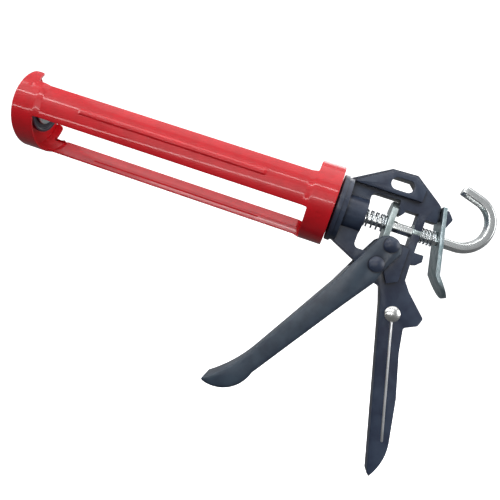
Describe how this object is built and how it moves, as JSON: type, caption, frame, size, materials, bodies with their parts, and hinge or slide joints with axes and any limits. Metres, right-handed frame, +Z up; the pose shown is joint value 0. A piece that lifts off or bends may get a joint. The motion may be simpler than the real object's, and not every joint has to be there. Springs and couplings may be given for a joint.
{
  "type": "caulking gun",
  "caption": "Skeleton caulking gun with a turning half-open cradle, hexagonal push rod with ladder hook, drive plate, thumb release lever and squeeze trigger",
  "frame": {"origin": "centre of the nozzle slot, on the push rod's axis at the outer face of the front plate", "axes": "+X to the rear along the push rod, +Z up, away from the handle, +Y to the gun's left seen from behind"},
  "size_m": [0.3325, 0.055, 0.2009],
  "materials": {
    "cradle_paint": "gloss",
    "frame_paint": "satin",
    "trigger_paint": "satin",
    "disc_paint": "satin",
    "zinc": "satin",
    "bright_zinc": "gloss",
    "spring_zinc": "gloss",
    "rod_zinc": "gloss",
    "lever_zinc": "satin",
    "wire_steel": "gloss",
    "nylon": "matte"
  },
  "bodies": {
    "frame": {"frame": "frame_paint", "hub_retainer": "zinc", "friction_washer": "nylon", "front_bush": "zinc", "rear_bush": "zinc", "trigger_pivot": "frame_paint", "stow_rivet": "bright_zinc"},
    "cradle": {"cradle_shell": "cradle_paint", "front_plate": "cradle_paint", "rear_plate": "cradle_paint"},
    "rod": {"push_rod": "rod_zinc", "plunger_disc": "disc_paint", "plunger_backing": "zinc", "plunger_nut": "bright_zinc"},
    "drive": {"drive_plate": "zinc", "drive_spring": "spring_zinc"},
    "trigger": {"trigger": "trigger_paint", "drive_pin": "frame_paint"},
    "release": {"release_lever": "lever_zinc", "release_spring": "spring_zinc"},
    "wire": {"puncture_wire": "wire_steel"}
  },
  "joints": [
    {"name": "cradle_turn", "type": "hinge", "parent": "frame", "child": "cradle", "pos_m": [0.2283, 0, 0], "axis": [1, 0, 0], "continuous": true},
    {"name": "rod_slide", "type": "slide", "parent": "frame", "child": "rod", "axis": [1, 0, 0], "range_m": [0, 0.205]},
    {"name": "trigger_squeeze", "type": "hinge", "parent": "frame", "child": "trigger", "pos_m": [0.2662, 0, -0.0286], "axis": [0, -1, 0], "range_deg": [0, 28], "stiffness_Nm_per_rad": 0.8, "springref_deg": -17.19},
    {"name": "drive_slide", "type": "slide", "parent": "frame", "child": "drive", "axis": [-1, 0, 0], "range_m": [0, 0.0076], "deforming": ["drive_spring"]},
    {"name": "release_press", "type": "hinge", "parent": "frame", "child": "release", "pos_m": [0.2962, 0, 0.0177], "axis": [0, 1, 0], "range_deg": [0, 8], "stiffness_Nm_per_rad": 0.3, "springref_deg": -17.19, "deforming": ["release_spring"]},
    {"name": "wire_swing", "type": "hinge", "parent": "frame", "child": "wire", "pos_m": [0.2859, 0, -0.0554], "axis": [0, -1, 0], "range_deg": [0, 120]}
  ],
  "couplings": [
    {"joint": "drive_slide", "follows": "trigger_squeeze", "m_per_rad": 0.01544}
  ]
}
